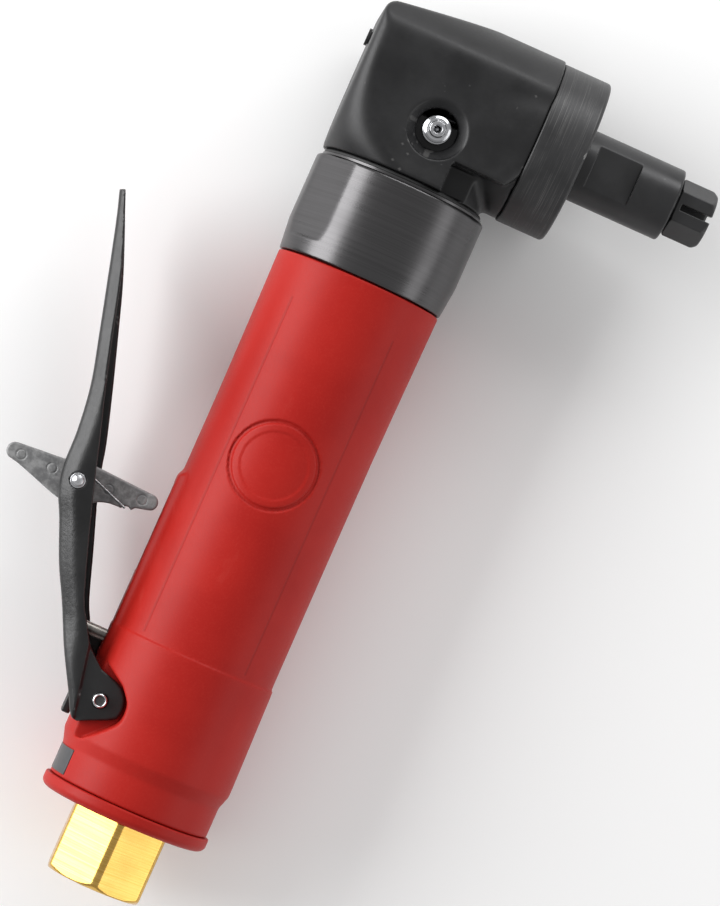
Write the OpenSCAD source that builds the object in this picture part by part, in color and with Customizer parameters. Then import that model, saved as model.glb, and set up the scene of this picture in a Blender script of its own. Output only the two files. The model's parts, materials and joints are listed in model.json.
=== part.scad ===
// Right-angle pneumatic die grinder with a throttle lever, a lock-off lever and a collet.
// +Y runs from the air inlet to the angle head, +X runs out along the spindle, +Z is up
// when the tool lies on its side. The origin is the centre of the air inlet's mouth.

/* [Air inlet] */
// Width across the flats of the inlet hex
inlet_af = 19; // [19:0.5:20]
// Height of the inlet hex
inlet_hex_h = 14.2; // [14:0.1:14.3]
// Radius of the inlet's 1/4 inch pipe thread at its crests
inlet_r = 5.6; // [5.4:0.1:5.8]
// Depth of the pipe thread
inlet_depth = 13; // [11:0.5:14]

/* [Grip] */
// Radius of the grip at its waist
grip_r = 16.6; // [16.5:0.1:16.7]
// Radius of the grip at its thick lower end
grip_foot_r = 17.5; // [17.2:0.1:17.6]
// Radius of the grip where it meets the clamp nut
grip_top_r = 17; // [16.9:0.1:17.1]
// Height of the step in the grip above the throttle
grip_step_y = 48.6; // [48:0.1:49]
// Height of the grip's front end
grip_top_y = 128.4; // [128:0.1:128.5]
// Distance of the flat pad under the lever from the tool's axis
pad_x = 17.1; // [17:0.1:17.3]

/* [Motor] */
// Radius of the motor bore in the grip
motor_bore_r = 13.05; // [13.05:0.05:13.1]
// Radius of the rotor
rotor_r = 9.8; // [9.5:0.1:9.8]
// Distance between the rotor's axis and the cylinder bore's axis
rotor_offset = 1; // [0.8:0.1:1]
// Length of the rotor
rotor_len = 39.6; // [39.6:0.1:39.8]
// Number of vanes
vane_count = 4; // [4:1:5]

/* [Angle head] */
// Height of the spindle axis above the inlet
spindle_y = 167.75; // [167.7:0.05:167.8]
// Distance of the head's back from the tool's axis
head_back_x = 17.7; // [17.6:0.1:17.8]
// Half of the width between the head's flat cheeks
cheek_z = 15; // [14.5:0.1:15]
// Distance of the head's open end from the tool's axis
head_front_x = 19.4; // [19.3:0.1:19.5]
// Radius of the bearing cap
cap_r = 16.75; // [16.5:0.05:16.8]
// Distance of the bearing cap's face from the tool's axis
cap_face_x = 29.5; // [29.4:0.1:29.6]

/* [Bevel gears] */
// Module of the bevel gears at their large end
gear_module = 1.2; // [1.15:0.05:1.2]
// Teeth on the pinion
pinion_teeth = 12; // [12:1:12]
// Teeth on the spindle gear
gear_teeth = 18; // [18:1:18]

/* [Spindle and collet] */
// Radius of the spindle nose
nose_r = 7.4; // [7.3:0.05:7.5]
// Distance of the spindle nose's end from the tool's axis
nose_end_x = 50; // [49.8:0.1:50.2]
// Width across the flats of the collet's hex
collet_af = 10.4; // [10.2:0.1:10.5]
// Distance of the collet's end from the tool's axis
collet_end_x = 57.9; // [57.5:0.1:58]
// Radius of the shank that the collet holds
shank_r = 3.175; // [3.1:0.025:3.2]

/* [Throttle] */
// Lever pivot, as distances along X and Y
lever_pivot = [-13.4, 34];
// Lock-off pivot, as distances along X and Y
lock_pivot = [-34.5, 71.1];
// Height of the valve pin above the inlet
valve_pin_y = 45.6; // [45.5:0.1:45.7]
// Half of the lever's width
lever_half_w = 10.4; // [10:0.1:10.6]
// Half of the gap between the lever's two walls
lever_half_gap = 8.2; // [8.1:0.1:8.4]

/* [Hidden] */
$fn = 96;

red = [0.66, 0.15, 0.13];
brass = [0.88, 0.76, 0.40];
black = [0.17, 0.17, 0.18];
gunmetal = [0.36, 0.36, 0.37];
cast_grey = [0.52, 0.52, 0.53];
steel = [0.72, 0.73, 0.75];
rubber = [0.08, 0.08, 0.08];

// Small gap between pieces that are assembled by hand, and running gap of turning pieces
fit = 0.05;
cut = 1;

inlet_shank_r = 8.5;
inlet_shank_top = 31;
passage_r = 4.2;
exhaust_cap_y = [14.3, 17.2];
grip_base_y = 17.3;
chamber_r = [9.4, 15];
chamber_top_y = 24;

pocket_z = 8;
lever_pin_r = 1.4;
lock_pin_r = 1.5;
lock_half_w = 4;
valve_pin_r = 1.2;
valve_seat_y = 38;
valve_stem_r = 1.2;

// Middle of the label, and its turn about the tool's axis from -X towards +Z
label_y = 20.6;
label_turn = 13;

spigot_r = 14.5;
spigot_top_y = 136;
motor_base_y = 61;
rotor_base_y = 72.2;
rotor_shaft_r = 3;
rear_bearing_y = 64.5;
front_bearing_y = 121;
pinion_bearing_y = 142.5;

neck_r = 15.6;
head_base_y = 150;
head_barrel_r = 17.35;
// Centre of the grease fitting, as distances along X and Y
grease_at = [1.2, 161];
back_plug_y = 173.5;
cap_thread_r = 14.5;
cap_thread_x = 17.4;

nut_y = [128.7, 148.8];
nut_bore_r = 15.7;

apex_gear = gear_module * gear_teeth / 2;
apex_pinion = gear_module * pinion_teeth / 2;
face_share = 0.64;

// Turn an outline of [radius, height] points about the tool's axis
module turned_y(points) {
    rotate([-90, 0, 0]) rotate_extrude() polygon(points);
}

// Turn an outline of [radius, distance] points about the spindle's axis
module turned_x(points) {
    translate([0, spindle_y, 0]) rotate([0, 90, 0]) rotate_extrude() polygon(points);
}

// Cylinder along the tool's axis, from one height to another
module rod_y(r, y) {
    translate([0, y[0], 0]) rotate([-90, 0, 0]) cylinder(r = r, h = y[1] - y[0]);
}

// Cylinder along the spindle's axis, from one distance to another
module rod_x(r, x) {
    translate([x[0], spindle_y, 0]) rotate([0, 90, 0]) cylinder(r = r, h = x[1] - x[0]);
}

// Ring along the tool's axis
module ring_y(r_in, r_out, y) {
    turned_y([[r_in, y[0]], [r_out, y[0]], [r_out, y[1]], [r_in, y[1]]]);
}

// Ring along the spindle's axis
module ring_x(r_in, r_out, x) {
    turned_x([[r_in, x[0]], [r_out, x[0]], [r_out, x[1]], [r_in, x[1]]]);
}

// Round cord ring about the tool's axis
module oring_y(r, cord_r, y) {
    translate([0, y, 0]) rotate([-90, 0, 0]) rotate_extrude() translate([r, 0]) circle(r = cord_r);
}

// Hex bar along local z
module hex_bar(af, h) {
    cylinder(r = af / 2 / cos(30), h = h, $fn = 6);
}

// Wire of radius r along a list of points that stay in order, as one closed tube
module wire(path, r, sides = 8) {
    last = len(path) - 1;
    ring = [for (i = [0:last])
        let(ahead = path[min(i + 1, last)], behind = path[max(i - 1, 0)],
            t = (ahead - behind) / norm(ahead - behind),
            side = cross(t, abs(t[2]) < 0.9 ? [0, 0, 1] : [1, 0, 0]), u = side / norm(side),
            v = cross(t, u))
        for (k = [0:sides - 1]) path[i] + r * (u * cos(360 * k / sides) + v * sin(360 * k / sides))];
    walls = [for (i = [0:last - 1], k = [0:sides - 1]) let(n = (k + 1) % sides)
        [i * sides + k, (i + 1) * sides + k, (i + 1) * sides + n, i * sides + n]];
    first_cap = [[for (k = [0:sides - 1]) k]];
    last_cap = [[for (k = [sides - 1:-1:0]) last * sides + k]];
    polyhedron(points = ring, faces = concat(walls, first_cap, last_cap));
}

// ---- Air inlet and exhaust ----

module inlet_bushing() {
    color(brass) difference() {
        union() {
            intersection() {
                rotate([-90, 0, 0]) rotate(90) hex_bar(inlet_af, inlet_hex_h);
                turned_y([[0, 0], [9.3, 0], [10.97, 1.5], [10.97, 13.6], [10.4, inlet_hex_h],
                          [0, inlet_hex_h]]);
            }
            rod_y(inlet_shank_r, [inlet_hex_h - 0.01, inlet_shank_top]);
        }
        rod_y(inlet_r, [-cut, inlet_depth]);
        rod_y(passage_r, [inlet_depth - cut, inlet_shank_top + cut]);
        rod_y(5.2, [inlet_shank_top - 1.6, inlet_shank_top + cut]);
        oring_y(8.75, 0.95, 27);
    }
}

// Woven strainer, as a disc with a grid of square holes
module inlet_screen() {
    screen_y = [inlet_shank_top - 1.55, inlet_shank_top - 1.15];
    color(steel) difference() {
        rod_y(5.15, screen_y);
        for (i = [-2:2], j = [-2:2])
            if (norm([i, j]) < 2.9)
                translate([i * 1.5, screen_y[0], j * 1.5])
                    cube([0.9, 2, 0.9], center = true);
    }
}

module inlet_oring() {
    color(rubber) intersection() {
        oring_y(8.7, 0.85, 27);
        rod_y(inlet_shank_r + 0.04, [25, 29]);
    }
}

// Flange ring around the inlet, with a ring of exhaust slots
module exhaust_cap() {
    slot_count = 16;
    color(red) difference() {
        turned_y([[inlet_shank_r + fit, exhaust_cap_y[0]], [15.9, exhaust_cap_y[0]],
                  [17.3, exhaust_cap_y[0] + 1.3], [17.3, exhaust_cap_y[1]],
                  [inlet_shank_r + fit, exhaust_cap_y[1]]]);
        for (i = [0:slot_count - 1])
            rotate([0, i * 360 / slot_count, 0])
                translate([13, exhaust_cap_y[0] + 1.5, 0]) cube([2.6, 5, 1.6], center = true);
    }
}

module exhaust_muffler() {
    color([0.75, 0.73, 0.68]) ring_y(chamber_r[0] + fit, chamber_r[1] - fit, [17.5, 22.5]);
}

// ---- Grip ----

// Outline of the grip, from its foot to the clamp nut
function grip_outline() = [
    [0, grip_base_y], [grip_r, grip_base_y], [grip_r, 23.8], [grip_foot_r, 26.2],
    [grip_foot_r, 28], [17.05, 47.6], [17, grip_step_y], [grip_r + 0.1, grip_step_y + 0.4],
    [grip_r, 80], [grip_r, 98], [grip_r + 0.15, 112], [grip_top_r, grip_top_y],
    [spigot_r, grip_top_y], [spigot_r, 131.3], [13.7, 131.3], [13.7, 132.9],
    [spigot_r, 132.9], [spigot_r, spigot_top_y], [0, spigot_top_y]
];

// Recess for one ear of the throttle lever, seen from the side
module ear_recess() {
    polygon([[-25, 41.5], [-15.4, 41.5], [-10.6, 38.5], [-8.4, 36], [-7.9, 33.6], [-8.4, 31.4],
             [-9.6, 30], [-13.8, 25.9], [-15.2, 26], [-15.8, 28.3], [-25, 28.3]]);
}

// Blank round badge ring and panel on one side of the grip
module side_relief(side) {
    badge = [-1.3, 88.9];
    intersection() {
        translate([badge[0], badge[1], side > 0 ? 10 : -20])
            difference() {
                cylinder(r = 9, h = 10);
                translate([0, 0, -1]) cylinder(r = 8.1, h = 12);
            }
        difference() {
            rod_y(grip_r + 1, [75, 102]);
            rod_y(grip_r - 0.35, [74, 103]);
        }
    }
}

module grip_housing() {
    color(red) difference() {
        union() {
            turned_y(grip_outline());
            translate([-pad_x, 41.5, -7.5]) cube([6, 39, 15]);
        }
        // Motor bore, air chamber, valve chamber and passages
        rod_y(motor_bore_r, [motor_base_y, spigot_top_y + cut]);
        ring_y(chamber_r[0], chamber_r[1], [grip_base_y - cut, chamber_top_y]);
        rod_y(inlet_shank_r + fit, [grip_base_y - cut, inlet_shank_top]);
        rod_y(6.2, [inlet_shank_top - cut, valve_seat_y]);
        rod_y(4, [valve_seat_y - cut, 42.5]);
        rod_y(5.4, [42, 52]);
        rod_y(3, [51, motor_base_y + cut]);
        for (a = [-40, 0, 40])
            rotate([0, a, 0]) translate([12.2, chamber_top_y - cut, 0])
                rotate([-90, 0, 0]) cylinder(r = 1.9, h = motor_base_y - chamber_top_y + 2);
        // Bore of the valve pin and of its bush
        translate([-20, valve_pin_y, 0]) rotate([0, 90, 0]) cylinder(r = 2.6, h = 12);
        translate([-9, valve_pin_y, 0]) rotate([0, 90, 0]) cylinder(r = 1.6, h = 8);
        // Recesses for the lever's ears, and the bore of its pivot
        for (s = [-1, 1])
            translate([0, 0, s > 0 ? pocket_z : -pocket_z - 12]) linear_extrude(12) ear_recess();
        translate([lever_pivot[0], lever_pivot[1], -12]) cylinder(r = lever_pin_r + fit, h = 24);
        // Landing groove in the pad for the lock-off lever's end
        translate([-20, 60, -4.6]) cube([4, 18, 9.2]);
        side_relief(1);
        side_relief(-1);
        // Shallow seat of the label
        intersection() {
            difference() {
                rod_y(20, [17.9, 23.3]);
                rod_y(grip_r - 0.25, [17, 24]);
            }
            rotate([0, label_turn, 0]) translate([-20, label_y, 0]) cube([12, 5.4, 11.2], center = true);
        }
    }
}

// Blank plate wrapped round the grip's neck
module info_label() {
    color([0.3, 0.3, 0.31]) intersection() {
        difference() {
            rod_y(grip_r + 0.02, [18.05, 23.15]);
            rod_y(grip_r - 0.22, [17, 24]);
        }
        rotate([0, label_turn, 0]) translate([-18, label_y, 0]) cube([16, 5.1, 10.8], center = true);
    }
}

// ---- Joint between grip and head ----

module clamp_nut() {
    flat_depth = 0.95;
    color(gunmetal) difference() {
        turned_y([[spigot_r + 0.1, nut_y[0]], [17.1, nut_y[0]], [17.75, 135], [17.75, 147.2],
                  [17.2, nut_y[1]], [nut_bore_r, nut_y[1]], [nut_bore_r, 131.2],
                  [spigot_r + 0.1, 131.2]]);
        for (a = [35, 215])
            rotate([0, a, 0]) translate([-17.75 - 5 + flat_depth, 140.8, 0])
                cube([10, 17.6, 20], center = true);
    }
}

module nut_retaining_ring() {
    color(steel) difference() {
        ring_y(13.75, nut_bore_r - 0.3, [131.35, 132.8]);
        translate([10, 130, -1.5]) cube([8, 5, 3]);
    }
}

module nut_washer() {
    color(steel) ring_y(neck_r + fit, 16.9, [148.85, 149.3]);
}

module head_oring() {
    color(rubber) difference() {
        oring_y(16.25, 0.45, 149.6);
        rod_y(neck_r + 0.01, [148, 151]);
        rod_y(18, [148, 149.31]);
        rod_y(18, [149.98, 151]);
    }
}

// ---- Angle head ----

// Side outline of the head above its round foot
module head_side() {
    polygon([[-head_back_x, 152], [-head_back_x, 179.4], [-16.9, 181.1], [-15.4, 181.9],
             [5, 185.05], [head_front_x, 185.05], [head_front_x, 158.6], [17.4, 156.5],
             [6.7, 156.5], [6.7, 151.5], [-15, 151.5]]);
}

// Square upper block that blends down into the round foot
module head_block() {
    corner_r = 3;
    hull() {
        rod_y(17.4, [head_base_y, head_base_y + 1.5]);
        for (s = [-1, 1], x = [-head_back_x + corner_r, 6.7 - corner_r])
            translate([x, 166, s * (cheek_z - corner_r)])
                rotate([-90, 0, 0]) cylinder(r = corner_r, h = 20, $fn = 32);
    }
}

module angle_head() {
    color(black) difference() {
        union() {
            intersection() {
                union() {
                    head_block();
                    translate([-5, 156.5, -cheek_z]) cube([24.4, 22, 2 * cheek_z]);
                    rod_x(head_barrel_r, [-5, head_front_x]);
                }
                translate([0, 0, -20]) linear_extrude(40) head_side();
                // The top is rounded about the spindle's axis
                union() {
                    rod_x(head_barrel_r, [-25, 25]);
                    translate([-25, 140, -20]) cube([50, spindle_y - 140, 40]);
                }
            }
            rod_x(16.2, [4, head_front_x]);
            rod_y(16.1, [head_base_y, 157]);
            rod_y(neck_r, [136.05, head_base_y + cut]);
        }
        // Bore of the pinion bearing and the gear chamber
        rod_y(11.05, [134, 146.1]);
        rod_y(9.4, [146, 161.5]);
        rod_x(12.4, [-5.4, 14.5]);
        rod_x(13.05, [13.9, 20]);
        rod_x(cap_thread_r + fit, [cap_thread_x - fit, 20]);
        rod_x(5.05, [-14, -4]);
        // Recess and hole of the grease fitting, and the tapped hole of the back plug
        translate([each grease_at, 11.6]) cylinder(r = 4.2, h = 12);
        translate([each grease_at, 13.6]) cylinder(r1 = 4.2, r2 = 6, h = 1.6);
        translate([each grease_at, 15.19]) cylinder(r = 6, h = 5);
        translate([each grease_at, 5]) cylinder(r = 2.05, h = 8);
        translate([-20, back_plug_y, 0]) rotate([0, 90, 0]) cylinder(r = 1.3, h = 5.6);
    }
}

module grease_fitting() {
    color(steel) translate([each grease_at, 0]) difference() {
        rotate_extrude() polygon([[0, 8.6], [2, 8.6], [2, 11.65], [2.85, 11.65], [2.85, 13],
                                  [2.1, 13.3], [2.1, 13.9], [2.6, 14.3], [2.6, 14.7], [1.5, 15.6],
                                  [0, 15.6]]);
        translate([0, 0, 8]) cylinder(r = 0.9, h = 6.4);
        translate([0, 0, 14.2]) cylinder(r = 0.55, h = 2);
    }
}

module grease_check_ball() {
    color(steel) translate([each grease_at, 13.5]) sphere(r = 0.75, $fn = 48);
}

module head_plug() {
    color(rubber) translate([-head_back_x - 0.55, back_plug_y, 0]) rotate([0, 90, 0]) {
        cylinder(r = 1.75, h = 0.54);
        cylinder(r = 1.28, h = 3.7);
    }
}

module bearing_cap() {
    color(black) difference() {
        turned_x([[nose_r + 0.25, cap_thread_x], [cap_thread_r, cap_thread_x], [cap_thread_r, 19.5],
                  [cap_r, 19.5], [cap_r, 28.7], [cap_r - 0.7, cap_face_x],
                  [nose_r + 0.25, cap_face_x]]);
        rod_x(10.4, [17, 27.4]);
        rod_x(13.1, [17, 22.1]);
    }
}

module spindle_seal() {
    color(rubber) ring_x(nose_r + 0.06, 10.35, [24.6, 27.3]);
}

// ---- Ball bearings ----
// size = [bore radius, outside radius, width], drawn along local z about its middle

function ball_pitch(size) = (size[0] + size[1]) / 2;
function ball_r(size) = (size[1] - size[0]) * 0.3;

module race(size, outer) {
    land = 0.15 * (size[1] - size[0]);
    inner_edge = outer ? ball_pitch(size) + land : size[0];
    outer_edge = outer ? size[1] : ball_pitch(size) - land;
    color(steel) rotate_extrude() difference() {
        translate([inner_edge, -size[2] / 2]) square([outer_edge - inner_edge, size[2]]);
        translate([ball_pitch(size), 0]) circle(r = ball_r(size) + 0.06);
    }
}

module balls(size, count) {
    color(steel) for (i = [0:count - 1])
        rotate([0, 0, i * 360 / count]) translate([ball_pitch(size), 0, 0])
            sphere(r = ball_r(size), $fn = 48);
}

rear_bearing = [3, 7.5, 5];
front_bearing = [4, 9.5, 6];
pinion_bearing = [4, 11, 7];
spindle_bearing = [5, 13, 8];

module at_y(y) { translate([0, y, 0]) rotate([-90, 0, 0]) children(); }
module at_x(x) { translate([x, spindle_y, 0]) rotate([0, 90, 0]) children(); }

module rear_bearing_outer_race() { at_y(rear_bearing_y) race(rear_bearing, true); }
module rear_bearing_balls() { at_y(rear_bearing_y) balls(rear_bearing, 7); }
module rear_bearing_inner_race() { at_y(rear_bearing_y) race(rear_bearing, false); }
module front_bearing_outer_race() { at_y(front_bearing_y) race(front_bearing, true); }
module front_bearing_balls() { at_y(front_bearing_y) balls(front_bearing, 7); }
module front_bearing_inner_race() { at_y(front_bearing_y) race(front_bearing, false); }
module pinion_bearing_outer_race() { at_y(pinion_bearing_y) race(pinion_bearing, true); }
module pinion_bearing_balls() { at_y(pinion_bearing_y) balls(pinion_bearing, 7); }
module pinion_bearing_inner_race() { at_y(pinion_bearing_y) race(pinion_bearing, false); }
module spindle_bearing_outer_race() { at_x(18) race(spindle_bearing, true); }
module spindle_bearing_balls() { at_x(18) balls(spindle_bearing, 8); }
module spindle_bearing_inner_race() { at_x(18) race(spindle_bearing, false); }

module spindle_rear_bush() {
    color(brass) ring_x(3.05, 5, [-13.9, -6]);
}

// ---- Air motor ----

// Cylinder liner with its bore set off the rotor's axis
module motor_cylinder() {
    color(steel) difference() {
        rod_y(motor_bore_r - fit, [72, 112]);
        translate([-rotor_offset, 0, 0]) rod_y(rotor_r + rotor_offset + 0.05, [71, 113]);
        for (y = [84, 92, 100])
            translate([0, y, 0]) rotate([0, 90, 0]) cylinder(r = 1.6, h = 20);
        translate([0, 0, 12]) rod_y(1.05, [71, 76]);
    }
}

module rear_end_plate() {
    color(gunmetal) difference() {
        union() {
            rod_y(10, [motor_base_y + 0.9, 68]);
            rod_y(motor_bore_r - fit, [67.1, 71.95]);
        }
        rod_y(7.55, [61, 67.05]);
        rod_y(3.6, [66, 73]);
        translate([0, 0, 12]) rod_y(1.05, [66, 73]);
        rotate([0, 200, 0]) translate([9.6, 0, 0]) rod_y(1.4, [60, 73]);
    }
}

module front_end_plate() {
    color(gunmetal) difference() {
        rod_y(motor_bore_r - fit, [112.05, 124.05]);
        rod_y(9.55, [117.95, 125]);
        rod_y(4.8, [111, 119]);
    }
}

module cylinder_pin() {
    color(steel) translate([0, 0, 12]) rod_y(1, [67.4, 75.8]);
}

module motor_spacer() {
    color(steel) ring_y(9.7, motor_bore_r - 0.15, [124.1, 135]);
}

module wave_washer() {
    color(steel) ring_y(9.9, motor_bore_r - 0.3, [135.1, 135.6]);
}

// Slotted rotor with its two journals and the square that drives the pinion
module rotor() {
    color(steel) difference() {
        union() {
            rod_y(rotor_r, [rotor_base_y, rotor_base_y + rotor_len]);
            rod_y(rotor_shaft_r - 0.01, [61.9, rotor_base_y + 1]);
            rod_y(3.99, [rotor_base_y + rotor_len - 1, 124.5]);
            translate([-2, 124, -2]) cube([4, 18, 4]);
        }
        for (i = [0:vane_count - 1])
            rotate([0, i * 360 / vane_count, 0])
                translate([4.2, rotor_base_y - cut, -0.85]) cube([8, rotor_len + 2, 1.7]);
    }
}

module rotor_vanes() {
    color([0.45, 0.36, 0.24]) for (i = [0:vane_count - 1])
        rotate([0, i * 360 / vane_count, 0])
            translate([4.3, rotor_base_y + 0.1, -0.75])
                cube([rotor_r - 4.3 - 0.1, rotor_len - 0.2, 1.5]);
}

// ---- Bevel gears ----

// Face of a gear at its large end: straight-flanked teeth, narrower than their gaps
module gear_face(teeth) {
    pitch_r = gear_module * teeth / 2;
    root_r = pitch_r - 1.25 * gear_module;
    tip_r = pitch_r + 0.8 * gear_module;
    root_half = 0.30 * PI * gear_module;
    tip_half = 0.11 * PI * gear_module;
    circle(r = root_r);
    for (i = [0:teeth - 1])
        rotate(i * 360 / teeth)
            polygon([[root_r - 0.6, -root_half], [root_r, -root_half], [tip_r, -tip_half],
                     [tip_r, tip_half], [root_r, root_half], [root_r - 0.6, root_half]]);
}

// Toothed part of a bevel gear: it narrows from local z = 0 towards the cone's apex
module bevel_teeth(teeth, apex) {
    linear_extrude(height = apex * (1 - face_share), scale = face_share) gear_face(teeth);
}

module bevel_pinion() {
    base_y = spindle_y - apex_gear;
    color(gunmetal) difference() {
        union() {
            translate([0, base_y, 0]) rotate([-90, 0, 0]) bevel_teeth(pinion_teeth, apex_gear);
            rod_y(5.4, [146.2, base_y + 0.5]);
            rod_y(3.99, [138.5, 147]);
        }
        translate([-2.02, 130, -2.02]) cube([4.04, 12.5, 4.04]);
    }
}

module bevel_gear() {
    hub_x = 13.9;
    color(gunmetal) difference() {
        union() {
            translate([apex_pinion, spindle_y, 0]) rotate([0, -90, 0])
                bevel_teeth(gear_teeth, apex_pinion);
            rod_x(9, [apex_pinion - 0.5, 10]);
            rod_x(6.6, [9, hub_x]);
        }
        rod_x(5.01, [0, 20]);
    }
}

module gear_nut() {
    color(steel) difference() {
        ring_x(4.02, 5.3, [2.2, 4.4]);
        for (a = [0:60:300])
            translate([0, spindle_y, 0]) rotate([a, 0, 0])
                translate([3.3, 5.6, 0]) cube([5, 1.4, 1.4], center = true);
    }
}

// ---- Spindle and collet ----

module spindle() {
    shoulder_x = 22.1;
    flat_x = [32.2, 41.2];
    flat_half_w = 4.35;
    color(black) difference() {
        turned_x([[0, -13.5], [2.6, -13.5], [2.99, -13], [2.99, 2], [4, 2], [4, 4.7], [4.99, 4.7],
                  [4.99, shoulder_x], [nose_r, shoulder_x], [nose_r, nose_end_x - 0.6],
                  [nose_r - 0.6, nose_end_x], [0, nose_end_x]]);
        rod_x(5.05, [33, nose_end_x + cut]);
        turned_x([[0, nose_end_x - 0.5], [5.05, nose_end_x - 0.5], [5.6, nose_end_x + 0.05],
                  [0, nose_end_x + 0.05]]);
        rod_x(3.4, [25, 34]);
        for (s = [-1, 1])
            translate([flat_x[0], spindle_y - 10, s > 0 ? sqrt(pow(nose_r, 2) - pow(flat_half_w, 2))
                       : -sqrt(pow(nose_r, 2) - pow(flat_half_w, 2)) - 5])
                cube([flat_x[1] - flat_x[0], 20, 5]);
    }
}

module collet() {
    head_x = nose_end_x + 0.45;
    slot_w = 1.3;
    color(black) difference() {
        union() {
            rod_x(5, [33.4, head_x + cut]);
            intersection() {
                at_x(head_x) rotate(90) hex_bar(collet_af, collet_end_x - head_x);
                turned_x([[0, head_x], [5.6, head_x], [6.1, head_x + 0.6], [6.1, collet_end_x - 1.2],
                          [5, collet_end_x], [0, collet_end_x]]);
            }
        }
        rod_x(shank_r, [33, collet_end_x + cut]);
        for (a = [0, 120, 240])
            translate([0, spindle_y, 0]) rotate([a, 0, 0])
                translate([51.4, -slot_w / 2, 0]) cube([10, slot_w, 8]);
    }
}

// ---- Throttle lever and lock-off ----

module lever_pin() {
    color(steel) translate([lever_pivot[0], lever_pivot[1], 0]) rotate_extrude() polygon([
        [0, -10.9], [1.1, -10.9], [lever_pin_r, -10.6], [lever_pin_r, 10.6], [1.1, 10.9], [0, 10.9]]);
}

// Side outline of the lever: the ear round its pivot, the grip bow and the thin tip
module lever_outline() {
    ear_r = 4.8;
    foot = [[-16.3, 28.6], [-14.9, 29.1], [-10.6, 31]];
    ear = [for (a = [-25:10:75]) lever_pivot + ear_r * [cos(a), sin(a)]];
    inner = [[-15.5, 39.7], [-19.5, 42.6], [-21.2, 46.8], [-23, 50.5], [-26.3, 60], [-29.5, 69],
             [-31.2, 75], [-32.4, 80], [-35.5, 90], [-38.9, 100], [-42.5, 110], [-46.2, 119]];
    tip = [[-49.3, 126.3], [-50.2, 125.8]];
    outer = [[-48.3, 120], [-45.5, 110], [-42.5, 99], [-39.9, 89], [-38.7, 80], [-38.5, 73],
             [-37.2, 67], [-35, 63], [-31.5, 55], [-28, 48.5], [-24, 40.5], [-20, 33.5],
             [-17.6, 28.9]];
    polygon(concat(foot, ear, inner, tip, outer));
}

// Hollow of the lever's channel, seen from the side
module lever_channel() {
    polygon([[0, 25], [-30, 25], [-30, 36.5], [-20, 36.5], [-22.6, 41.2], [-26.6, 49.2],
             [-30.1, 55.7], [-33.6, 63.6], [-35.7, 67.4], [-36.9, 73.1], [-37.1, 80.1],
             [-38.3, 89.3], [-40.2, 96.5], [-37, 101], [0, 101]]);
}

module throttle_lever() {
    color(black) difference() {
        union() {
            translate([0, 0, -lever_half_w]) linear_extrude(2 * lever_half_w) lever_outline();
            // Stop tab folded out at the foot, and the far wall's lobe beside the valve pin
            translate([-19.4, 28.4, -lever_half_w]) cube([1.8, 5, 7.4]);
            translate([-22.5, 38.5, -lever_half_w]) cube([5.1, 5.8, 2.2]);
        }
        translate([0, 0, -lever_half_gap]) linear_extrude(2 * lever_half_gap) lever_channel();
        // Window in the web for the lock-off lever
        translate([-50, 61.5, -lock_half_w - 0.5]) cube([20, 28.5, 2 * lock_half_w + 1]);
        // Room in the web for the spring's coil
        translate([lock_pivot[0], lock_pivot[1], -lever_half_gap])
            cylinder(r = 2.6, h = 2 * lever_half_gap);
        translate([lever_pivot[0], lever_pivot[1], -12]) cylinder(r = lever_pin_r + fit, h = 24);
        translate([lock_pivot[0], lock_pivot[1], -12]) cylinder(r = lock_pin_r, h = 24);
    }
}

module lock_pin() {
    color(steel) translate([lock_pivot[0], lock_pivot[1], 0]) rotate_extrude() polygon([
        [0, -11.2], [0.9, -11], [lock_pin_r, -10.5], [lock_pin_r, 10.5], [0.9, 11], [0, 11.2]]);
}

// Side outline of the lock-off lever: finger tab, hub and stop arm
module lock_outline() {
    arm_end = [-20, 72.8];
    arm_end_r = 1.6;
    tab_end = [-48, 71.4];
    tab_end_r = 1.7;
    polygon(concat(
        [for (a = [-80:20:80]) arm_end + arm_end_r * [cos(a), sin(a)]],
        [[-31, 75], [-34.5, 75], [-38.7, 73.9]],
        [for (a = [100:20:240]) tab_end + tab_end_r * [cos(a), sin(a)]],
        [[-45, 68.9], [-40, 67.4], [-37.2, 66.5], [-33, 66.6], [-29.3, 68.7], [-27, 69.4],
         [-24.6, 69.5], [-24.2, 70.1], [-23.4, 70.2], [-22.6, 69.9], [-22, 70.5]]));
}

module lock_lever() {
    color(cast_grey) difference() {
        translate([0, 0, -lock_half_w]) linear_extrude(2 * lock_half_w) lock_outline();
        translate([lock_pivot[0], lock_pivot[1], -6]) cylinder(r = lock_pin_r + fit, h = 12);
    }
}

// Torsion spring of the lock-off: coil round the pin, leg to the arm and leg to the web
module lock_spring() {
    wire_r = 0.25;
    coil_r = 1.95;
    winding = 425;
    steps = 32;
    coil = [for (i = [0:steps]) let(a = 65 - winding * i / steps)
        [lock_pivot[0] + coil_r * cos(a), lock_pivot[1] + coil_r * sin(a), 4.9 + 2.4 * i / steps]];
    arm_leg = [[-24, 69.8, 4.5], [-27.6, 71.1, 4.5], [-31.2, 72.4, 4.6], [-32.6, 72.8, 4.8]];
    web_leg = [[-32.6, 69, 7.4], [-32.9, 66.4, 7.4], [-33.3, 64.6, 7.4]];
    color(steel) wire(concat(arm_leg, coil, web_leg), wire_r);
}

// ---- Throttle valve ----

module valve_pin() {
    pin_x = [-24.4, -2.8];
    color(steel) translate([0, valve_pin_y, 0]) rotate([0, 90, 0]) rotate_extrude() polygon([
        [0, pin_x[0]], [0.7, pin_x[0] + 0.1], [valve_pin_r, pin_x[0] + 0.6],
        [valve_pin_r, pin_x[1] - 0.6], [0.7, pin_x[1] - 0.1], [0, pin_x[1]]]);
}

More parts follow.
